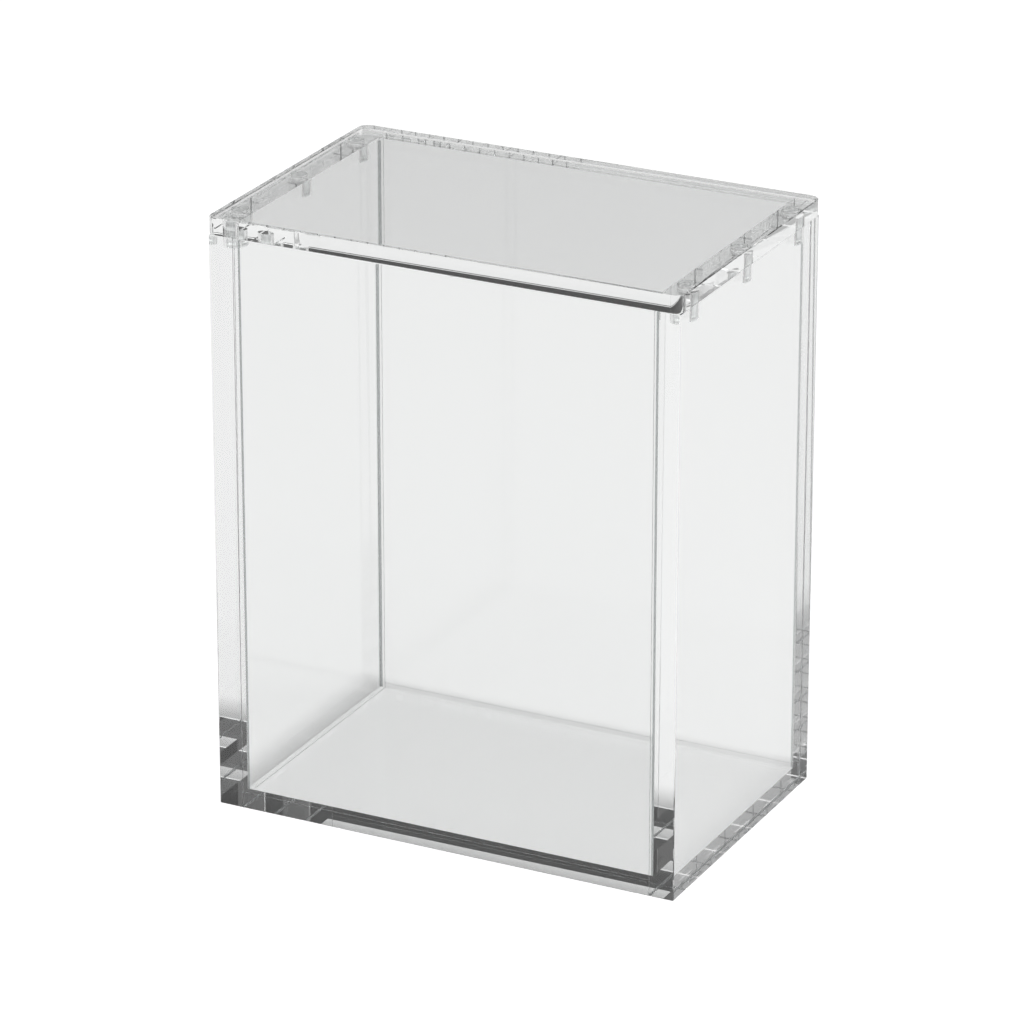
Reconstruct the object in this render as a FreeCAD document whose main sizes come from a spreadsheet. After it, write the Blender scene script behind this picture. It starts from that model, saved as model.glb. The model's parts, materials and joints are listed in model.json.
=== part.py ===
import FreeCAD, Part
import os

import Sketcher
from FreeCAD import Vector

# Clear acrylic display case: five sheets welded into a box, and a loose lid that six pins locate.
# Millimetres. +Z is up, the front faces -Y, and the origin is the middle of the footprint on the floor.

SIZES = [
    ("case_width", 139, "outside width over the two side panels"),
    ("case_depth", 88, "outside depth, front face to back face"),
    ("wall_height", 167, "height of the four walls above the floor"),
    ("sheet_thickness", 4.75, "nominal 5 mm sheet that the base, the front and the back are cut from"),
    ("side_thickness", 7.3, "nominal 8 mm sheet that the two side panels are cut from, for the sockets"),
    ("lid_thickness", 5, "sheet that the lid is cut from"),
    ("lid_overhang", 0.5, "how far the lid stands out past the walls all round"),
    ("lid_corner_radius", 3, "rounded upright corners of the lid"),
    ("edge_ease", 0.2, "bevel polished along every exposed outer edge"),
    ("seat_gap", 0.1, "air film between the wall tops and the lid that rests on them"),
    ("pin_diameter", 4.6, "nominal 5 mm clear rod that the locating pins are cut from"),
    ("pin_embed", 2.8, "depth of the blind bore in the lid that holds a pin"),
    ("pin_drop", 4.6, "how far a pin hangs below the lid"),
    ("pin_tip_ease", 0.4, "bevel on the pin's free end"),
    ("pin_row_inset", 3.5, "from a side panel's outer face to the axes of its pins"),
    ("pin_end_inset", 11, "from a side panel's end to the axis of its nearest pin"),
    ("bond_gap", 0.05, "cement film round a pin and above it in the lid"),
    ("socket_clearance", 0.15, "radial play of a pin in its socket"),
    ("socket_floor_gap", 0.4, "room under the pin's tip in its socket"),
]

# Each side's pins, evenly spaced along the side panel
PIN_PLACES = ("front", "middle", "rear")

# Most of the wall beside a socket that the bevel above it may take
SOCKET_WALL_SHARE = 0.6

# How near two coordinates, or two volumes as a share of their size, have to be to count as equal
TOLERANCE = 1e-6

# Derived sizes, each written once as a spreadsheet expression
INNER_WIDTH = "sizes.case_width - 2 * sizes.side_thickness"
FRONT_HEIGHT = "sizes.wall_height - sizes.sheet_thickness"
LID_WIDTH = "sizes.case_width + 2 * sizes.lid_overhang"
LID_DEPTH = "sizes.case_depth + 2 * sizes.lid_overhang"
LID_UNDERSIDE = "sizes.wall_height + sizes.seat_gap"
PIN_ROW_LENGTH = "sizes.case_depth - 2 * sizes.pin_end_inset"
PIN_OFFSET = "sizes.case_width / 2 - sizes.pin_row_inset"
PIN_LENGTH = "sizes.pin_drop + sizes.pin_embed - sizes.bond_gap"
BORE_DIAMETER = "sizes.pin_diameter + 2 * sizes.bond_gap"
SOCKET_DIAMETER = "sizes.pin_diameter + 2 * sizes.socket_clearance"
SOCKET_DEPTH = "sizes.pin_drop - sizes.seat_gap + sizes.socket_floor_gap"
SOCKET_WALL = f"(sizes.pin_row_inset - ({SOCKET_DIAMETER}) / 2)"
SIDE_PANEL_EASE = f"min(sizes.edge_ease; {SOCKET_WALL_SHARE} * {SOCKET_WALL})"

# How a sketch numbers its own axes, and the points of a line or circle
V_AXIS, H_AXIS = range(-2, 0)
START, END, CENTRE = range(1, 4)

doc = FreeCAD.newDocument("display_case")


def make_size_sheet():
    """Puts the driving dimensions in a spreadsheet, one aliased row each."""
    sheet = doc.addObject("Spreadsheet::Sheet", "sizes")
    for row, (alias, value, meaning) in enumerate(SIZES, start=1):
        sheet.set(f"A{row}", meaning)
        sheet.set(f"B{row}", str(value))
        sheet.setAlias(f"B{row}", alias)
    doc.recompute()
    return sheet


sizes = make_size_sheet()


def value_of(expression):
    """The number that an expression has now."""
    return float(sizes.evalExpression(expression.replace("sizes.", "")))


def new_body(label, **placement):
    """An empty body whose place is bound to the sheet, such as x="sizes.case_width / 2"."""
    body = doc.addObject("PartDesign::Body", label)
    body.Label = label
    for axis, expression in placement.items():
        body.setExpression(f"Placement.Base.{axis}", expression)
    return body


def new_sketch(body, name, plane, height="0", turned_over=False):
    """A sketch on one of the body's origin planes, at a height along the plane's normal."""
    sketch = body.newObject("Sketcher::SketchObject", name)
    support = next(f for f in body.Origin.OriginFeatures if f.Role == plane)
    sketch.AttachmentSupport = [(support, "")]
    sketch.MapMode = "FlatFace"
    if turned_over:
        sketch.AttachmentOffset = FreeCAD.Placement(Vector(), FreeCAD.Rotation(Vector(1, 0, 0), 180))
    sketch.setExpression("AttachmentOffset.Base.z", height)
    return sketch


def draw_rectangle(sketch, width, height, centred):
    """A rectangle across the upright axis, centred on the origin or standing on the level axis."""
    half = value_of(width) / 2
    tall = value_of(height)
    low = -tall / 2 if centred else 0
    corners = [Vector(-half, low), Vector(half, low), Vector(half, low + tall), Vector(-half, low + tall)]
    for here, there in zip(corners, corners[1:] + corners[:1]):
        sketch.addGeometry(Part.LineSegment(here, there))
    bottom, right, top, left = range(4)
    for line, following in ((bottom, right), (right, top), (top, left), (left, bottom)):
        sketch.addConstraint(Sketcher.Constraint("Coincident", line, END, following, START))
    sketch.addConstraint(Sketcher.Constraint("Horizontal", top))
    sketch.addConstraint(Sketcher.Constraint("Vertical", right))
    sketch.addConstraint(Sketcher.Constraint("Vertical", left))
    if centred:
        sketch.addConstraint(Sketcher.Constraint("Horizontal", bottom))
        sketch.addConstraint(Sketcher.Constraint("Symmetric", bottom, START, top, START, H_AXIS, START))
    else:
        sketch.addConstraint(Sketcher.Constraint("Symmetric", bottom, START, bottom, END, V_AXIS))
        sketch.addConstraint(Sketcher.Constraint("PointOnObject", bottom, START, H_AXIS))
    bind_distance(sketch, "DistanceX", "wide", (bottom, START, bottom, END), width)
    bind_distance(sketch, "DistanceY", "tall", (right, START, right, END), height)


def bind_distance(sketch, kind, name, points, expression):
    """A named distance between two sketch points, bound to the sheet."""
    index = sketch.addConstraint(Sketcher.Constraint(kind, *points, value_of(expression)))
    sketch.renameConstraint(index, name)
    sketch.setExpression(f"Constraints.{name}", expression)


def draw_bore_circle(sketch, name, across, back, diameter):
    """A circle left or right of the origin by across, and in front of it by back."""
    place = Vector(value_of(across), -value_of(back))
    circle = sketch.addGeometry(Part.Circle(place, Vector(0, 0, 1), value_of(diameter) / 2))
    index = sketch.addConstraint(Sketcher.Constraint("Diameter", circle, value_of(diameter)))
    sketch.renameConstraint(index, f"{name}_bore")
    sketch.setExpression(f"Constraints.{name}_bore", diameter)
    bind_distance(sketch, "DistanceX", f"{name}_across", (H_AXIS, START, circle, CENTRE), across)
    bind_distance(sketch, "DistanceY", f"{name}_back", (circle, CENTRE, H_AXIS, START), back)


def pad(body, sketch, thickness):
    """Raises the sketch along its positive normal axis to a sheet of the given thickness."""
    feature = body.newObject("PartDesign::Pad", f"{sketch.Name}_pad")
    feature.Profile = sketch
    feature.setExpression("Length", thickness)
    doc.recompute()
    return feature


def drill_row(body, sketch, diameter, depth):
    """Flat-bottomed holes at the sketch's circles, repeated as a row of pins from front to back."""
    solid_before = body.Shape.Volume
    hole = body.newObject("PartDesign::Hole", f"{sketch.Name}_hole")
    hole.Profile = sketch
    hole.Threaded = False
    hole.DepthType = "Dimension"
    hole.DrillPoint = "Flat"
    hole.setExpression("Diameter", diameter)
    hole.setExpression("Depth", depth)
    doc.recompute()
    row = body.newObject("PartDesign::LinearPattern", f"{sketch.Name}_row")
    row.Originals = [hole]
    row.Direction = (sketch, ["V_Axis"])
    row.Occurrences = len(PIN_PLACES)
    row.setExpression("Length", PIN_ROW_LENGTH)
    body.Tip = row
    doc.recompute()
    hole_count = len(sketch.Geometry) * len(PIN_PLACES)
    drilled = hole_count * value_of(f"pi * ({diameter})^2 / 4 * ({depth})")
    missing = drilled - (solid_before - body.Shape.Volume)
    if abs(missing) > drilled * TOLERANCE:
        raise RuntimeError(f"{body.Label}: the holes remove {missing} mm3 less than they should")
    return row


def edges_where(shape, test):
    """Names of the straight or round edges whose every sample point passes the test."""
    names = []
    for index, edge in enumerate(shape.Edges, start=1):
        ends = [edge.valueAt(edge.FirstParameter), edge.valueAt(edge.LastParameter)]
        middle = edge.valueAt((edge.FirstParameter + edge.LastParameter) / 2)
        if test(*ends, middle):
            names.append(f"Edge{index}")
    return names


def at(value, target):
    """Whether a coordinate lies on a plane."""
    return abs(value - target) < TOLERANCE


def ease_edges(body, base, name, size, test):
    """Bevels the chosen edges of the body's last feature."""
    edges = edges_where(base.Shape, test)
    if not edges:
        raise RuntimeError(f"{body.Label}: no edges found to ease")
    bevel = body.newObject("PartDesign::Chamfer", name)
    bevel.Base = (base, edges)
    bevel.setExpression("Size", size)
    doc.recompute()
    return bevel


def make_base():
    """Bottom sheet: fills the width between the side panels and runs from front face to back face."""
    body = new_body("base_panel")
    sketch = new_sketch(body, "base_outline", "XY_Plane")
    draw_rectangle(sketch, INNER_WIDTH, "sizes.case_depth", centred=True)
    sheet = pad(body, sketch, "sizes.sheet_thickness")
    front = value_of("sizes.case_depth") / 2

    def exposed(start, end, middle):
        return at(start.z, 0) and at(end.z, 0) and at(abs(middle.y), front)

    ease_edges(body, sheet, "base_eased", "sizes.edge_ease", exposed)
    return body


def make_end_panel(label, front):
    """Front or back sheet: stands on the base between the side panels, flush with their ends."""
    outer_face = "sizes.case_depth / 2"
    # A sheet drawn on the XZ plane grows towards -Y
    place = f"-{outer_face} + sizes.sheet_thickness" if front else outer_face
    body = new_body(label, y=place, z="sizes.sheet_thickness")
    sketch = new_sketch(body, f"{label}_outline", "XZ_Plane")
    draw_rectangle(sketch, INNER_WIDTH, FRONT_HEIGHT, centred=False)
    sheet = pad(body, sketch, "sizes.sheet_thickness")
    outside = -value_of("sizes.sheet_thickness") if front else 0
    top = value_of(FRONT_HEIGHT)

    def exposed(start, end, middle):
        return all(at(point.z, top) and at(point.y, outside) for point in (start, end, middle))

    ease_edges(body, sheet, f"{label}_eased", "sizes.edge_ease", exposed)
    return body


def make_side_panel(label, left):
    """Left or right sheet: full depth and height, with a row of pin sockets in its top edge."""
    outer_face = "sizes.case_width / 2"
    place = f"-{outer_face}" if left else f"{outer_face} - sizes.side_thickness"
    body = new_body(label, x=place)
    outline = new_sketch(body, f"{label}_outline", "YZ_Plane")
    draw_rectangle(outline, "sizes.case_depth", "sizes.wall_height", centred=False)
    pad(body, outline, "sizes.side_thickness")
    sockets = new_sketch(body, f"{label}_sockets", "XY_Plane", height="sizes.wall_height")
    row_place = "sizes.pin_row_inset" if left else "sizes.side_thickness - sizes.pin_row_inset"
    row_start = f"({PIN_ROW_LENGTH}) / 2"
    draw_bore_circle(sockets, "front", row_place, row_start, SOCKET_DIAMETER)
    drilled = drill_row(body, sockets, SOCKET_DIAMETER, SOCKET_DEPTH)
    outside = 0 if left else value_of("sizes.side_thickness")
    end = value_of("sizes.case_depth") / 2
    top = value_of("sizes.wall_height")

    def exposed(start, finish, middle):
        on_outer_face = all(at(point.x, outside) for point in (start, finish, middle))
        on_end = all(at(abs(point.y), end) for point in (start, finish, middle))
        return on_outer_face or (on_end and (at(middle.z, 0) or at(middle.z, top)))

    ease_edges(body, drilled, f"{label}_eased", SIDE_PANEL_EASE, exposed)
    return body


def make_lid():
    """Lid sheet: rounded corners, eased rims, and blind bores underneath for the pins."""
    body = new_body("lid_panel", z=LID_UNDERSIDE)
    outline = new_sketch(body, "lid_outline", "XY_Plane")
    draw_rectangle(outline, LID_WIDTH, LID_DEPTH, centred=True)
    sheet = pad(body, outline, "sizes.lid_thickness")

    def upright(start, end, middle):
        return not at(start.z, end.z)

    rounded = body.newObject("PartDesign::Fillet", "lid_corners")
    rounded.Base = (sheet, edges_where(sheet.Shape, upright))
    rounded.setExpression("Radius", "sizes.lid_corner_radius")
    doc.recompute()
    top = value_of("sizes.lid_thickness")

    def rim(start, end, middle):
        return all(at(p.z, 0) for p in (start, end)) or all(at(p.z, top) for p in (start, end))

    ease_edges(body, rounded, "lid_eased", "sizes.edge_ease", rim)
    bores = new_sketch(body, "lid_bores", "XY_Plane", turned_over=True)
    row_start = f"({PIN_ROW_LENGTH}) / 2"
    draw_bore_circle(bores, "right", PIN_OFFSET, row_start, BORE_DIAMETER)
    draw_bore_circle(bores, "left", f"-({PIN_OFFSET})", row_start, BORE_DIAMETER)
    drill_row(body, bores, BORE_DIAMETER, "sizes.pin_embed")
    return body


def make_pin(label, x, y):
    """Locating pin: a short clear rod, bevelled at its free end."""
    body = new_body(label, x=x, y=y, z=f"{LID_UNDERSIDE} - sizes.pin_drop")
    sketch = new_sketch(body, f"{label}_outline", "XY_Plane")
    circle = sketch.addGeometry(Part.Circle(Vector(), Vector(0, 0, 1), value_of("sizes.pin_diameter") / 2))
    sketch.addConstraint(Sketcher.Constraint("Coincident", circle, CENTRE, H_AXIS, START))
    index = sketch.addConstraint(Sketcher.Constraint("Diameter", circle, value_of("sizes.pin_diameter")))
    sketch.renameConstraint(index, "rod")
    sketch.setExpression("Constraints.rod", "sizes.pin_diameter")
    rod = pad(body, sketch, PIN_LENGTH)

    def tip(start, end, middle):
        return all(at(point.z, 0) for point in (start, end, middle))

    ease_edges(body, rod, f"{label}_eased", "sizes.pin_tip_ease", tip)
    return body


def make_pins():
    """Three pins along each side, above the sockets in that side panel's top edge."""
    pins = []
    spacing = f"({PIN_ROW_LENGTH}) / {len(PIN_PLACES) - 1}"
    for side, sign in (("left", "-"), ("right", "")):
        for number, place in enumerate(PIN_PLACES):
            along = f"{number} * {spacing} - ({PIN_ROW_LENGTH}) / 2"
            pins.append(make_pin(f"lid_pin_{side}_{place}", f"{sign}({PIN_OFFSET})", along))
    return pins


parts = [
    make_base(),
    make_end_panel("front_panel", front=True),
    make_end_panel("back_panel", front=False),
    make_side_panel("left_panel", left=True),
    make_side_panel("right_panel", left=False),
    make_lid(),
    *make_pins(),
]
doc.recompute()

for item in doc.Objects:
    if "Invalid" in item.State or "Error" in item.State:
        raise RuntimeError(f"{item.Label} failed: {item.State}")
for body in parts:
    if body.Shape.isNull() or not body.Shape.isValid() or len(body.Shape.Solids) != 1:
        raise RuntimeError(f"{body.Label} is not one sound solid")

os.makedirs("parts", exist_ok=True)
for body in parts:
    body.Shape.exportStep(f"parts/{body.Label}.step")
    box = body.Shape.BoundBox
    print(f"{body.Label}: {body.Shape.Volume:.1f} mm3, x {box.XMin:.2f} {box.XMax:.2f},"
          f" y {box.YMin:.2f} {box.YMax:.2f}, z {box.ZMin:.2f} {box.ZMax:.2f}")
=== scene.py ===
"""Looks of a clear acrylic display case with a lift-off lid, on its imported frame, in metres."""
import json
import logging
import math
from dataclasses import dataclass
from enum import Enum
from typing import Iterator

import bmesh
import bpy
from mathutils import Euler, Matrix, Vector


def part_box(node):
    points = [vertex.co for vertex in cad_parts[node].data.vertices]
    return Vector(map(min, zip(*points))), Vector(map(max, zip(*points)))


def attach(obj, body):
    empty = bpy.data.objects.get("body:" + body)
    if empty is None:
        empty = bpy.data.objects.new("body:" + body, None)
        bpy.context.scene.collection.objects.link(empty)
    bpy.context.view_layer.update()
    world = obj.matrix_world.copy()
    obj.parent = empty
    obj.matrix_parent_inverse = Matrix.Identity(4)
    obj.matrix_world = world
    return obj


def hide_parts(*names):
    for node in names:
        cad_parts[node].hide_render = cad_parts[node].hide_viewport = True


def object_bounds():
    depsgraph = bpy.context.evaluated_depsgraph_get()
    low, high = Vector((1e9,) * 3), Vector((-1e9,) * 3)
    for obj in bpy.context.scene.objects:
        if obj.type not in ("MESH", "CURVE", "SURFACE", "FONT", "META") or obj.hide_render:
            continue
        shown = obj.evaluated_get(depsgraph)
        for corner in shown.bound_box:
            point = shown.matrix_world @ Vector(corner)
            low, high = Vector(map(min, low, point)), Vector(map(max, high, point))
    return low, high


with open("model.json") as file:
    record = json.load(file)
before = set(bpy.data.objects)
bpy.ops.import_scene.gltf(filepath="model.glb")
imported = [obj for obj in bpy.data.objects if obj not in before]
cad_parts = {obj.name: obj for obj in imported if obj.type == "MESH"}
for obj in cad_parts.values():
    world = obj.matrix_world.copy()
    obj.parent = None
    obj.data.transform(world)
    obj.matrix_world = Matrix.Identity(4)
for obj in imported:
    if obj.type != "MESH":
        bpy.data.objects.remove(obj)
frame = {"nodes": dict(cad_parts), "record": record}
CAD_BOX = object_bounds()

LOG = logging.getLogger("display_case")
MILLIMETRE = 0.001

# How the pins' nodes are named, and the play round a pin that still counts as its hole
PIN = "lid_pin"
BORE_PLAY = 0.3 * MILLIMETRE

# Width of a weld's milky rim, and the air film between the case and the table
RIM_WIDTH = 0.5 * MILLIMETRE
TABLE_GAP = 0.05 * MILLIMETRE

# How near two places have to be to touch, or to be one corner of a mesh
TOUCHING = 0.02 * MILLIMETRE
ONE_CORNER = TOUCHING / 10

# How nearly a normal has to lie along an axis, and the angles between faces that count as an edge
# and as flat
SQUARE = 0.999
SHARP_EDGE = math.radians(30)
FLAT_ANGLE = math.radians(0.05)

# Octaves of the noise in smudges, waves, fine marks and paper, and the noise at which smudges and
# fine marks show
SMUDGE_OCTAVES, WAVE_OCTAVES, MARK_OCTAVES, PAPER_OCTAVES = 3, 1, 4, 2
SMUDGE_NOISE = (0.55, 0.8)
MARK_NOISE = (0.62, 0.72)

# Bounces that light gets inside the clear sheets
BOUNCES = 48


class Body(Enum):
    """Rigid bodies of the frame that pieces ride on."""

    CASE = "case"
    LID = "lid"


class Slot(Enum):
    """Material slots of the record."""

    SHEET = "clear_sheet"
    ROD = "clear_rod"


class Surface(Enum):
    """What a face of a piece is, which decides its finish."""

    FACE = 0
    EDGE = 1
    DRILLED = 2
    SEAM = 3
    RIM = 4
    BEVEL = 5


@dataclass
class NodeTree:
    """Short hand for making shader nodes and joining them.

    Attributes:
        tree: The node tree that the nodes are made in.
    """

    tree: bpy.types.NodeTree

    def add(self, kind: str, **settings: object) -> bpy.types.Node:
        """Makes a node.

        Args:
            kind: Blender's name of the node type.
            **settings: Attributes of the node, such as operation="MULTIPLY".

        Returns:
            The new node.
        """
        node = self.tree.nodes.new(kind)
        for name, value in settings.items():
            setattr(node, name, value)
        return node

    def set(self, node: bpy.types.Node, **inputs: object) -> bpy.types.Node:
        """Sets input sockets by name, with underscores for spaces, to values or to other sockets.

        Args:
            node: The node whose inputs are set.
            **inputs: Values, or output sockets to link from.

        Returns:
            The same node.
        """
        for name, value in inputs.items():
            socket = node.inputs[name.replace("_", " ")]
            if isinstance(value, bpy.types.NodeSocket):
                self.tree.links.new(value, socket)
            else:
                socket.default_value = value
        return node

    def maths(self, operation: str, first: object, second: object) -> bpy.types.NodeSocket:
        """Joins two numbers or sockets by a maths operation.

        Args:
            operation: The operation's name, such as "MAXIMUM".
            first: A number or an output socket.
            second: A number or an output socket.

        Returns:
            The result's socket.
        """
        node = self.add("ShaderNodeMath", operation=operation)
        for socket, value in zip(node.inputs, (first, second)):
            if isinstance(value, bpy.types.NodeSocket):
                self.tree.links.new(value, socket)
            else:
                socket.default_value = value
        return node.outputs["Value"]

    def noise(self, where: bpy.types.NodeSocket, scale: float,
              detail: float) -> bpy.types.NodeSocket:
        """Adds a noise texture.

        Args:
            where: Coordinates that it is read at.
            scale: Waves to the metre.
            detail: Octaves of finer noise.

        Returns:
            The noise's value socket.
        """
        node = self.set(self.add("ShaderNodeTexNoise"), Vector=where, Scale=scale, Detail=detail)
        return node.outputs["Fac"]

    def span(self, value: bpy.types.NodeSocket, source: tuple[float, float],
             result: tuple[float, float]) -> bpy.types.NodeSocket:
        """Maps one range of a value to another, and holds it there beyond the ends.

        Args:
            value: The socket that is mapped.
            source: Low and high end of the range that is read.
            result: What the two ends become.

        Returns:
            The mapped value's socket.
        """
        node = self.add("ShaderNodeMapRange", clamp=True)
        self.set(node, Value=value, From_Min=source[0], From_Max=source[1],
                 To_Min=result[0], To_Max=result[1])
        return node.outputs["Result"]

    def stretched(self, scale: tuple[float, float, float]) -> bpy.types.NodeSocket:
        """Object coordinates, stretched.

        Args:
            scale: Factors along X, Y and Z.

        Returns:
            The coordinates' socket.
        """
        place = self.add("ShaderNodeTexCoord")
        node = self.set(self.add("ShaderNodeMapping"), Vector=place.outputs["Object"], Scale=scale)
        return node.outputs["Vector"]


def new_material(name: str) -> tuple[bpy.types.Material, NodeTree, bpy.types.Node]:
    """Makes a material with one Principled shader.

    Args:
        name: The material's name.

    Returns:
        The material, its node tree and its Principled node.
    """
    material = bpy.data.materials.new(name)
    material.use_nodes = True
    return material, NodeTree(material.node_tree), material.node_tree.nodes["Principled BSDF"]


@dataclass(frozen=True)
class ClearAcrylic:
    """Clear polished acrylic: bends light, with faint smudges, waviness and hairlines.

    Attributes:
        name: The material's name.
        tint: What passes one surface.
        ior: Index of refraction.
        roughness: Roughness where the surface is clean and where it is smudged.
        smudge_scale: Smudges to the metre.
        wave_scale: Waves of the sheet's surface to the metre.
        wave_depth: Height of those waves, in metres.
        hairline_stretch: Stretch of the fine marks along X, Y and Z.
        hairline_depth: Depth of the fine marks, in metres.
    """

    name: str
    tint: tuple[float, float, float]
    ior: float
    roughness: tuple[float, float]
    smudge_scale: float
    wave_scale: float
    wave_depth: float
    hairline_stretch: tuple[float, float, float]
    hairline_depth: float

    def build(self) -> bpy.types.Material:
        """Makes the material."""
        material, tree, shader = new_material(self.name)
        plain = tree.stretched((1, 1, 1))
        smudge = tree.span(tree.noise(plain, self.smudge_scale, SMUDGE_OCTAVES),
                           SMUDGE_NOISE, self.roughness)
        waves = tree.set(tree.add("ShaderNodeBump"), Strength=1.0, Distance=self.wave_depth,
                         Height=tree.noise(plain, self.wave_scale, WAVE_OCTAVES))
        marks = tree.noise(tree.stretched(self.hairline_stretch), 1.0, MARK_OCTAVES)
        hairlines = tree.set(tree.add("ShaderNodeBump"), Strength=1.0, Distance=self.hairline_depth,
                             Height=tree.span(marks, MARK_NOISE, (0, 1)),
                             Normal=waves.outputs["Normal"])
        tree.set(shader, Base_Color=(*self.tint, 1), Roughness=smudge, IOR=self.ior,
                 Transmission_Weight=1.0, Normal=hairlines.outputs["Normal"])
        return material


@dataclass(frozen=True)
class WeldSeam:
    """Solvent weld between two sheets: clear, with a faint film that shows when seen edge on.

    Attributes:
        name: The material's name.
        film: Share of the light that the film stops.
        colour: The film's colour where it is thin and where it is milky.
        streak_scale: Streaks to the metre.
        scatter: Share of the stopped light that goes on, scattered.
        roughness: How widely it scatters.
    """

    name: str
    film: float
    colour: tuple[tuple[float, float, float], tuple[float, float, float]]
    streak_scale: float
    scatter: float
    roughness: float = 0.6

    def build(self) -> bpy.types.Material:
        """Makes the material."""
        material, tree, shader = new_material(self.name)
        streaks = tree.noise(tree.stretched((1, 1, 1)), self.streak_scale, MARK_OCTAVES)
        mix = tree.add("ShaderNodeMix", data_type="RGBA")
        for socket, value in zip((s for s in mix.inputs if s.type == "RGBA"), self.colour):
            socket.default_value = (*value, 1)
        tree.tree.links.new(streaks, mix.inputs["Factor"])
        colour = next(s for s in mix.outputs if s.type == "RGBA")
        tree.set(shader, Base_Color=colour, Roughness=self.roughness, Alpha=self.film,
                 Transmission_Weight=self.scatter)
        return material


SHEET_FACE = ClearAcrylic(
    "acrylic_sheet_face", tint=(0.99, 0.995, 0.993), ior=1.49, roughness=(0.0, 0.012),
    smudge_scale=35, wave_scale=18, wave_depth=2e-6, hairline_stretch=(300, 300, 40),
    hairline_depth=5e-8)
SHEET_EDGE = ClearAcrylic(
    "acrylic_polished_edge", tint=(0.985, 0.993, 0.99), ior=1.49, roughness=(0.0, 0.012),
    smudge_scale=220, wave_scale=40, wave_depth=6e-7, hairline_stretch=(250, 250, 250),
    hairline_depth=3e-8)
EASED_EDGE = ClearAcrylic(
    "acrylic_eased_edge", tint=(0.985, 0.993, 0.99), ior=1.49, roughness=(0.05, 0.14),
    smudge_scale=300, wave_scale=200, wave_depth=1e-6, hairline_stretch=(400, 400, 400),
    hairline_depth=3e-7)
DRILLED_WALL = ClearAcrylic(
    "acrylic_drilled_wall", tint=(0.93, 0.94, 0.94), ior=1.49, roughness=(0.28, 0.42),
    smudge_scale=600, wave_scale=300, wave_depth=2e-6, hairline_stretch=(200, 200, 2500),
    hairline_depth=1e-6)
ROD = ClearAcrylic(
    "acrylic_rod", tint=(0.985, 0.992, 0.99), ior=1.49, roughness=(0.0, 0.03),
    smudge_scale=400, wave_scale=250, wave_depth=1e-6, hairline_stretch=(1500, 1500, 150),
    hairline_depth=5e-7)
CEMENT = ClearAcrylic(
    "acrylic_cement", tint=(0.42, 0.44, 0.44), ior=1.48, roughness=(0.01, 0.06),
    smudge_scale=500, wave_scale=400, wave_depth=4e-6, hairline_stretch=(300, 300, 60),
    hairline_depth=1e-6)
SEAM = WeldSeam(
    "acrylic_weld_seam", film=0.05, colour=((0.55, 0.58, 0.6), (0.9, 0.92, 0.93)),
    streak_scale=260, scatter=0.0)
WELD_RIM = WeldSeam(
    "acrylic_weld_rim", film=0.8, colour=((0.9, 0.92, 0.93), (0.99, 0.995, 0.995)),
    streak_scale=400, scatter=0.8)


@dataclass(frozen=True)
class Seam:
    """Flat contact between two panels.

    Attributes:
        axis: The axis that it faces along.
        low: Lowest corner.
        high: Highest corner.
    """

    axis: int
    low: Vector
    high: Vector

    @classmethod
    def between(cls, first: str, second: str) -> "Seam | None":
        """Finds where two nodes' boxes touch.

        Args:
            first: A node's name.
            second: Another node's name.

        Returns:
            The contact, or None if the boxes don't touch along a face.
        """
        boxes = [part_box(name) for name in (first, second)]
        low = Vector(max(box[0][k] for box in boxes) for k in range(3))
        high = Vector(min(box[1][k] for box in boxes) for k in range(3))
        extent = high - low
        flat = [k for k in range(3) if abs(extent[k]) < TOUCHING]
        if len(flat) != 1 or min(extent) < -TOUCHING:
            return None
        return cls(flat[0], low, high)

    def cuts(self) -> Iterator[tuple[int, float]]:
        """Planes along the contact's outline, as an axis and a place on it."""
        for k in range(3):
            if k != self.axis:
                yield k, self.low[k]
                yield k, self.high[k]

    def rims(self) -> Iterator[tuple[int, float, float]]:
        """Sides of the outline on the case's outside, as an axis, a place and the way in."""
        low, high = case_box()
        for k in range(3):
            if k != self.axis:
                if abs(self.low[k] - low[k]) < TOUCHING:
                    yield k, self.low[k], 1.0
                if abs(self.high[k] - high[k]) < TOUCHING:
                    yield k, self.high[k], -1.0

    def all_cuts(self) -> Iterator[tuple[int, float]]:
        """Planes along the outline and along the inner border of its milky rims."""
        yield from self.cuts()
        for k, place, inwards in self.rims():
            yield k, place + inwards * RIM_WIDTH

    def holds(self, centre: Vector, normal: Vector) -> Surface | None:
        """Tells whether a face lies in the contact.

        Args:
            centre: The face's centre.
            normal: The face's normal.

        Returns:
            The kind of weld surface that it is, or None if it lies elsewhere.
        """
        inside = all(self.low[k] - TOUCHING <= centre[k] <= self.high[k] + TOUCHING
                     for k in range(3))
        if not inside or abs(normal[self.axis]) < SQUARE:
            return None
        milky = any(abs(centre[k] - place) < RIM_WIDTH for k, place, inwards in self.rims())
        return Surface.RIM if milky else Surface.SEAM


def case_box() -> tuple[Vector, Vector]:
    """Lowest and highest corner of the welded box."""
    boxes = [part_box(node) for node in frame["record"]["behaviour"]["bodies"][Body.CASE.value]]
    return (Vector(min(low[k] for low, high in boxes) for k in range(3)),
            Vector(max(high[k] for low, high in boxes) for k in range(3)))


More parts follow.
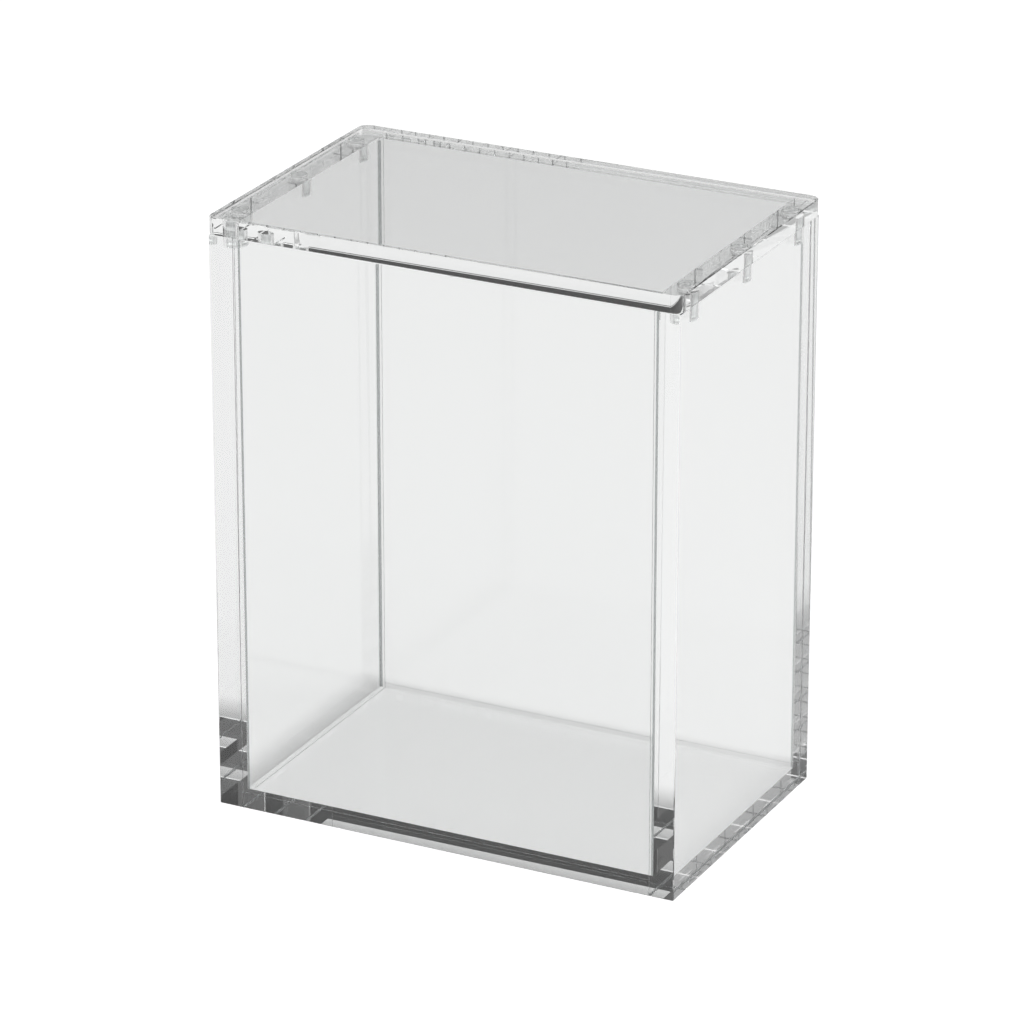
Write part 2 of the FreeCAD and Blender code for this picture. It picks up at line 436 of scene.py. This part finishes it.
@dataclass(frozen=True)
class Bore:
    """Upright hole round a pin, in the lid or in a side panel.

    Attributes:
        axis: Where its axis stands, along X and Y.
        reach: Radius that takes in its wall.
    """

    axis: Vector
    reach: float

    @classmethod
    def round_pin(cls, node: str) -> "Bore":
        """Finds the hole round a pin.

        Args:
            node: The pin's node.

        Returns:
            The hole.
        """
        low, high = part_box(node)
        return cls(((low + high) / 2).xy, (high.x - low.x) / 2 + BORE_PLAY)

    def holds(self, place: Vector) -> bool:
        """Tells whether a place lies in the hole or on its wall.

        Args:
            place: The place.

        Returns:
            Whether it does.
        """
        return (place.xy - self.axis).length < self.reach


BORES = [Bore.round_pin(node) for node in frame["nodes"] if node.startswith(PIN)]


@dataclass
class Piece:
    """A clear piece that stands for one node, with its surfaces sorted by finish.

    Attributes:
        node: The node that it stands for.
        body: The body that it rides on.
        slot: The record's material slot; not used.
        finishes: A material for each kind of surface.
        neighbours: Nodes that it is welded to.
    """

    node: str
    body: Body
    slot: Slot
    finishes: dict[Surface, bpy.types.Material]
    neighbours: tuple[str, ...] = ()

    def seams(self) -> list[Seam]:
        """Welds to the neighbours."""
        found = [Seam.between(self.node, other) for other in self.neighbours]
        return [seam for seam in found if seam]

    def surface_of(self, face: bmesh.types.BMFace, seams: list[Seam]) -> Surface:
        """Sorts a face.

        Args:
            face: The face.
            seams: The piece's contacts.

        Returns:
            What kind of surface the face is.
        """
        centre = face.calc_center_median()
        for seam in seams:
            kind = seam.holds(centre, face.normal)
            if kind:
                return kind
        low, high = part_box(self.node)
        extent = high - low
        thin = min(range(3), key=lambda k: extent[k])
        level = abs(face.normal.z) > SQUARE
        below_surface = min(centre[thin] - low[thin], high[thin] - centre[thin])
        if abs(face.normal[thin]) > SQUARE and below_surface < TOUCHING:
            return Surface.FACE
        if not level and any(bore.holds(centre) for bore in BORES):
            return Surface.DRILLED
        square_on = max(abs(part) for part in face.normal) > SQUARE
        round_corner = self.body is Body.LID and abs(face.normal.z) < 1 - SQUARE
        return Surface.EDGE if square_on or round_corner else Surface.BEVEL

    def build(self) -> bpy.types.Object:
        """Copies the node's form, cuts it along its seams and dresses it.

        Returns:
            The new object.
        """
        seams = self.seams()
        mesh = frame["nodes"][self.node].data.copy()
        if "custom_normal" in mesh.attributes:
            mesh.attributes.remove(mesh.attributes["custom_normal"])
        form = bmesh.new()
        form.from_mesh(mesh)
        bmesh.ops.remove_doubles(form, verts=form.verts, dist=ONE_CORNER)
        bmesh.ops.dissolve_limit(form, angle_limit=FLAT_ANGLE, verts=form.verts, edges=form.edges)
        low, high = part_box(self.node)
        for axis, place in {cut for seam in seams for cut in seam.all_cuts()}:
            if low[axis] + TOUCHING < place < high[axis] - TOUCHING:
                point = Vector([place if k == axis else 0 for k in range(3)])
                normal = Vector([k == axis for k in range(3)])
                everything = [*form.verts, *form.edges, *form.faces]
                bmesh.ops.bisect_plane(form, geom=everything, plane_co=point, plane_no=normal)
        form.normal_update()
        for face in form.faces:
            face.smooth = True
            face.material_index = self.surface_of(face, seams).value
        mesh.materials.clear()
        for surface in Surface:
            mesh.materials.append(self.finishes[surface])
        form.to_mesh(mesh)
        form.free()
        mesh.set_sharp_from_angle(angle=SHARP_EDGE)
        piece = bpy.data.objects.new(f"{self.node}_clear", mesh)
        bpy.context.scene.collection.objects.link(piece)
        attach(piece, self.body.value)
        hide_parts(self.node)
        LOG.info("%s: %d faces, %d seams", piece.name, len(mesh.polygons), len(seams))
        return piece


@dataclass
class CaseBox:
    """The welded box: base, front, back and two sides.

    Attributes:
        finishes: A material for each kind of surface.
    """

    finishes: dict[Surface, bpy.types.Material]

    def build(self) -> list[bpy.types.Object]:
        """Makes the five panels."""
        panels = frame["record"]["behaviour"]["bodies"][Body.CASE.value]
        pieces = []
        for node in panels:
            others = tuple(name for name in panels if name != node)
            pieces.append(Piece(node, Body.CASE, Slot.SHEET, self.finishes, others).build())
        return pieces


@dataclass(frozen=True)
class CementFillet:
    """Hollow fillet of dried cement in an upright inner corner.

    Attributes:
        leg: How far it reaches along each panel.
        film: Gap to the panels and the base.
        steps: Facets of its hollow face.
    """

    leg: float = 0.7 * MILLIMETRE
    film: float = 0.02 * MILLIMETRE
    steps: int = 6

    def section(self) -> list[tuple[float, float]]:
        """Corners of its section, counted inwards from the corner of the case."""
        hollow = [math.pi / 2 * step / self.steps for step in range(self.steps + 1)]
        arc = [(self.leg * (1 - math.sin(a)), self.leg * (1 - math.cos(a))) for a in hollow]
        return [(self.film, self.film)] + [(max(x, self.film), max(y, self.film)) for x, y in arc]

    def build(self, finish: bpy.types.Material) -> list[bpy.types.Object]:
        """Makes the four fillets.

        Args:
            finish: The cement's material.

        Returns:
            The new objects.
        """
        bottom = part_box("base_panel")[1].z + self.film
        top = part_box("front_panel")[1].z - self.leg
        sides = (("left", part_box("left_panel")[1].x, 1), ("right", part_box("right_panel")[0].x, -1))
        ends = (("front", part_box("front_panel")[1].y, 1), ("back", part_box("back_panel")[0].y, -1))
        pieces = []
        for side, x, across in sides:
            for end, y, along in ends:
                form = bmesh.new()
                ring = [form.verts.new((x + u * across, y + v * along, bottom))
                        for u, v in self.section()]
                foot = form.faces.new(ring)
                drawn = bmesh.ops.extrude_face_region(form, geom=[foot])["geom"]
                raised = [item for item in drawn if isinstance(item, bmesh.types.BMVert)]
                bmesh.ops.translate(form, verts=raised, vec=(0, 0, top - bottom))
                bmesh.ops.recalc_face_normals(form, faces=form.faces)
                mesh = bpy.data.meshes.new(f"cement_fillet_{side}_{end}")
                mesh.materials.append(finish)
                form.to_mesh(mesh)
                form.free()
                piece = bpy.data.objects.new(mesh.name, mesh)
                bpy.context.scene.collection.objects.link(piece)
                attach(piece, Body.CASE.value)
                pieces.append(piece)
        return pieces


@dataclass
class Lid:
    """The loose lid with its locating pins.

    Attributes:
        sheet_finishes: A material for each kind of surface of the sheet.
        rod_finishes: A material for each kind of surface of the pins.
    """

    sheet_finishes: dict[Surface, bpy.types.Material]
    rod_finishes: dict[Surface, bpy.types.Material]

    def build(self) -> list[bpy.types.Object]:
        """Makes the lid sheet and the pins."""
        pieces = []
        for node in frame["record"]["behaviour"]["bodies"][Body.LID.value]:
            is_pin = node.startswith(PIN)
            slot = Slot.ROD if is_pin else Slot.SHEET
            finishes = self.rod_finishes if is_pin else self.sheet_finishes
            pieces.append(Piece(node, Body.LID, slot, finishes).build())
        return pieces


@dataclass(frozen=True)
class Studio:
    """Pale table, surroundings and soft lamps.

    Attributes:
        table_radius: Radius of the pale table top.
        table_colour: The table's own colour.
        camera_lift: Light that the table gives to the camera alone, to read as white.
        through_lift: Light that the table gives to what shows in and through the acrylic.
        painted_shade_share: Share of that light that a painted shade leaves close beside the case, in
            place of the case's contact shadow.
        painted_shade_span: How far out from the case the painted shade is full, and where it ends.
        table_roughness: Roughness of the table's paper.
        table_grain: Grains of the paper to the metre.
        grain_depth: Height of the grains.
        grain_strength: How strongly the grains show.
        table_corners: Corners of the round table top.
        back_sky: Brightness behind the case, as (height of the direction from -1 to 1, brightness).
        right_sky: The same behind the case and to its right.
        front_sky: The same for the side that the camera stands on.
        mirror_sky: The same for what the acrylic's outer faces mirror.
        sky_turn: How far back a direction points where the front's brightness ends, and where the
            back's is full.
        sky_side: How far right a direction points where the right's brightness ends, and where the
            back's is full.
        fill: Even brightness of the surroundings that lights the table.
    """

    table_radius: float = 1.2
    table_colour: tuple[float, float, float] = (0.72, 0.72, 0.72)
    camera_lift: float = 0.9
    through_lift: float = 0.65
    # painted shade on the table close beside the case, in place of its contact shadow
    painted_shade_share: float = 0.4
    painted_shade_span: tuple[float, float] = (1 * MILLIMETRE, 13 * MILLIMETRE)
    table_roughness: float = 0.9
    table_grain: float = 900
    grain_depth: float = 0.02 * MILLIMETRE
    grain_strength: float = 0.2
    table_corners: int = 64
    back_sky: tuple[tuple[float, float], ...] = (
        (-0.04, 0.8), (0.04, 0.5), (0.1, 0.5), (0.15, 0.045), (0.5, 0.045), (0.6, 0.95))
    right_sky: tuple[tuple[float, float], ...] = (
        (-0.04, 0.8), (0.04, 0.5), (0.1, 0.5), (0.15, 0.11), (0.5, 0.11), (0.6, 0.95))
    front_sky: tuple[tuple[float, float], ...] = (
        (-0.04, 0.8), (0.04, 0.55), (0.15, 0.45), (0.45, 0.4), (0.6, 0.95))
    mirror_sky: tuple[tuple[float, float], ...] = (
        (-0.04, 0.8), (0.1, 0.45), (0.5, 0.45), (0.6, 0.95))
    sky_turn: tuple[float, float] = (0.0, 0.35)
    sky_side: tuple[float, float] = (0.2, -0.2)
    fill: float = 0.1

    def table_material(self) -> bpy.types.Material:
        """Makes the table's finish: matt paper, white to the camera, that keeps shadows."""
        material, tree, shader = new_material("studio_table")
        height = tree.noise(tree.stretched((1, 1, 1)), self.table_grain, PAPER_OCTAVES)
        grain = tree.set(tree.add("ShaderNodeBump"), Height=height, Strength=self.grain_strength,
                         Distance=self.grain_depth)
        tree.set(shader, Base_Color=(*self.table_colour, 1), Roughness=self.table_roughness,
                 Normal=grain.outputs["Normal"])
        path = tree.add("ShaderNodeLightPath").outputs
        seen_in = tree.maths("MAXIMUM", path["Is Glossy Ray"], path["Is Transmission Ray"])
        to_camera = tree.maths("MULTIPLY", path["Is Camera Ray"], self.camera_lift)
        to_acrylic = tree.maths("MULTIPLY", seen_in, self.through_light(tree))
        lift = tree.maths("MAXIMUM", to_camera, to_acrylic)
        tree.set(shader, Emission_Color=(1, 1, 1, 1), Emission_Strength=lift)
        return material

    def through_light(self, tree: NodeTree) -> bpy.types.NodeSocket:
        """Light that the table gives the acrylic: painted shade close beside the case, else full.

        Args:
            tree: Where the nodes are made.

        Returns:
            The light's socket.
        """
        parts = tree.add("ShaderNodeSeparateXYZ")
        place = tree.set(parts, Vector=tree.stretched((1, 1, 1))).outputs
        half = (CAD_BOX[1] - CAD_BOX[0]) / 2
        past = [tree.maths("SUBTRACT", tree.maths("ABSOLUTE", place[axis], 0), reach)
                for axis, reach in (("X", half.x), ("Y", half.y))]
        beside = tree.maths("MAXIMUM", *past)
        # painted shade: the table's light dims close beside the case, in place of its contact shadow
        shade = tree.span(beside, self.painted_shade_span, (self.painted_shade_share, 1))
        share = tree.maths("MAXIMUM", shade, tree.maths("LESS_THAN", beside, 0))
        return tree.maths("MULTIPLY", share, self.through_lift)

    def build_table(self) -> None:
        """Makes the round table top under the case."""
        mesh = bpy.data.meshes.new("studio_table")
        form = bmesh.new()
        bmesh.ops.create_circle(form, cap_ends=True, segments=self.table_corners,
                                radius=self.table_radius)
        form.to_mesh(mesh)
        form.free()
        mesh.materials.append(self.table_material())
        table = bpy.data.objects.new("studio_table", mesh)
        table.location.z = CAD_BOX[0].z - TABLE_GAP
        bpy.context.scene.collection.objects.link(table)

    def build_world(self) -> None:
        """Makes the surroundings: white to the camera, and a banded studio to the acrylic."""
        world = bpy.data.worlds.new("studio")
        bpy.context.scene.world = world
        world.use_nodes = True
        tree = NodeTree(world.node_tree)
        world.node_tree.nodes.clear()
        direction = tree.add("ShaderNodeTexCoord").outputs["Generated"]
        parts = tree.set(tree.add("ShaderNodeSeparateXYZ"), Vector=direction).outputs
        skies = (self.front_sky, self.right_sky, self.back_sky, self.mirror_sky)
        front, right, back, mirrored = (self.sky_shader(tree, parts["Z"], sky) for sky in skies)
        behind = self.mix(tree, tree.span(parts["X"], self.sky_side, (0, 1)), right, back)
        banded = self.mix(tree, tree.span(parts["Y"], self.sky_turn, (0, 1)), front, behind)
        path = tree.add("ShaderNodeLightPath").outputs
        even = tree.set(tree.add("ShaderNodeBackground"), Color=(1, 1, 1, 1), Strength=self.fill)
        white = tree.set(tree.add("ShaderNodeBackground"), Color=(1, 1, 1, 1), Strength=1.0)
        seen_in = tree.maths("MAXIMUM", path["Is Glossy Ray"], path["Is Transmission Ray"])
        around = self.mix(tree, path["Is Transmission Ray"], mirrored, banded)
        shown = self.mix(tree, seen_in, even, around)
        out = tree.add("ShaderNodeOutputWorld")
        tree.set(out, Surface=self.mix(tree, path["Is Camera Ray"], shown, white).outputs["Shader"])

    @staticmethod
    def sky_shader(tree: NodeTree, height: bpy.types.NodeSocket,
                   sky: tuple[tuple[float, float], ...]) -> bpy.types.Node:
        """Makes one side of the surroundings.

        Args:
            tree: Where the nodes are made.
            height: Height of the direction, from -1 to 1.
            sky: Heights and their brightness.

        Returns:
            The side's background shader.
        """
        ramp = tree.set(tree.add("ShaderNodeValToRGB"), Fac=tree.span(height, (-1, 1), (0, 1)))
        stops = ramp.color_ramp.elements
        while len(stops) < len(sky):
            stops.new(0.5)  # moved to its place below
        for stop, (place, level) in zip(stops, sky):
            stop.position = (place + 1) / 2
            stop.color = (level, level, level, 1)
        return tree.set(tree.add("ShaderNodeBackground"), Color=ramp.outputs["Color"], Strength=1.0)

    @staticmethod
    def mix(tree: NodeTree, share: bpy.types.NodeSocket, first: bpy.types.Node,
            second: bpy.types.Node) -> bpy.types.Node:
        """Mixes two shaders.

        Args:
            tree: Where the node is made.
            share: Share of the second shader.
            first: A shader node.
            second: Another shader node.

        Returns:
            The mix node.
        """
        node = tree.set(tree.add("ShaderNodeMixShader"), Fac=share)
        tree.tree.links.new(first.outputs[0], node.inputs[1])
        tree.tree.links.new(second.outputs[0], node.inputs[2])
        return node

    def build(self) -> None:
        """Makes the table, the surroundings and the lamps."""
        self.build_table()
        self.build_world()
        for lamp in LAMPS:
            lamp.build()


@dataclass(frozen=True)
class SoftLamp:
    """A square soft box.

    Attributes:
        name: The lamp's name.
        place: Where it hangs.
        aim: The point that it faces.
        side: Length of its side.
        power: Its power in watts.
    """

    name: str
    place: tuple[float, float, float]
    aim: tuple[float, float, float]
    side: float
    power: float

    def build(self) -> None:
        """Makes the lamp."""
        light = bpy.data.lights.new(self.name, "AREA")
        light.shape = "SQUARE"
        light.size = self.side
        light.energy = self.power
        lamp = bpy.data.objects.new(self.name, light)
        lamp.location = self.place
        way = Vector(self.aim) - Vector(self.place)
        lamp.rotation_euler = way.to_track_quat("-Z", "Y").to_euler()
        bpy.context.scene.collection.objects.link(lamp)


LAMPS = (
    SoftLamp("front_softbox", place=(0.45, -0.85, 1.6), aim=(0, 0, 0), side=2.0, power=8),
    SoftLamp("right_softbox", place=(1.3, 0.5, 0.9), aim=(0.3, 0.2, 0), side=0.8, power=3),
)


@dataclass(frozen=True)
class PhotoCamera:
    """Camera that looks at the case as the photograph does, its lengths in case heights.

    Attributes:
        azimuth: Degrees to the right of the front.
        elevation: Degrees above level.
        distance_share: Distance to the point looked at.
        right_share: How far right of the case's middle it looks.
        up_share: How far above the case's middle it looks.
        view_angle: Degrees across the picture.
        clip_shares: Nearest and farthest distance that it sees.
    """

    azimuth: float = 26.72
    elevation: float = 22.08
    distance_share: float = 8.984
    right_share: float = -0.0049
    up_share: float = -0.0118
    view_angle: float = 10.346
    clip_shares: tuple[float, float] = (1, 100)

    def build(self) -> None:
        """Makes the camera and gives it to the scene."""
        low, high = CAD_BOX
        height = high.z - low.z
        turn = Euler((math.radians(90 - self.elevation), 0, math.radians(self.azimuth))).to_matrix()
        right, up, back = turn.col
        target = (low + high) / 2 + (right * self.right_share + up * self.up_share) * height
        data = bpy.data.cameras.new("photo_camera")
        data.sensor_fit = "HORIZONTAL"
        data.angle = math.radians(self.view_angle)
        data.clip_start, data.clip_end = (share * height for share in self.clip_shares)
        camera = bpy.data.objects.new("photo_camera", data)
        place = target + back * height * self.distance_share
        camera.matrix_world = Matrix.Translation(place) @ turn.to_4x4()
        bpy.context.scene.collection.objects.link(camera)
        bpy.context.scene.camera = camera


def set_up_scene() -> None:
    """Sets the colour view, and lets light bounce often enough inside clear sheets."""
    scene = bpy.context.scene
    scene.view_settings.view_transform = "Standard"
    scene.cycles.max_bounces = BOUNCES
    scene.cycles.transmission_bounces = BOUNCES
    scene.cycles.glossy_bounces = BOUNCES
    scene.cycles.transparent_max_bounces = BOUNCES


def main() -> None:
    """Builds the case, the lid, the studio and the camera, in that order."""
    logging.basicConfig(level=logging.INFO, format="%(name)s: %(message)s")
    set_up_scene()
    finishes = {Surface.FACE: SHEET_FACE, Surface.EDGE: SHEET_EDGE, Surface.DRILLED: DRILLED_WALL,
                Surface.SEAM: SEAM, Surface.RIM: WELD_RIM, Surface.BEVEL: EASED_EDGE}
    sheet = {surface: finish.build() for surface, finish in finishes.items()}
    rod = ROD.build()
    pins = {surface: rod for surface in Surface}
    pieces = CaseBox(sheet).build()
    pieces += CementFillet().build(CEMENT.build())
    pieces += Lid(sheet, pins).build()
    Studio().build()
    PhotoCamera().build()
    LOG.info("pieces made: %d", len(pieces))


if __name__ == "__main__":
    main()
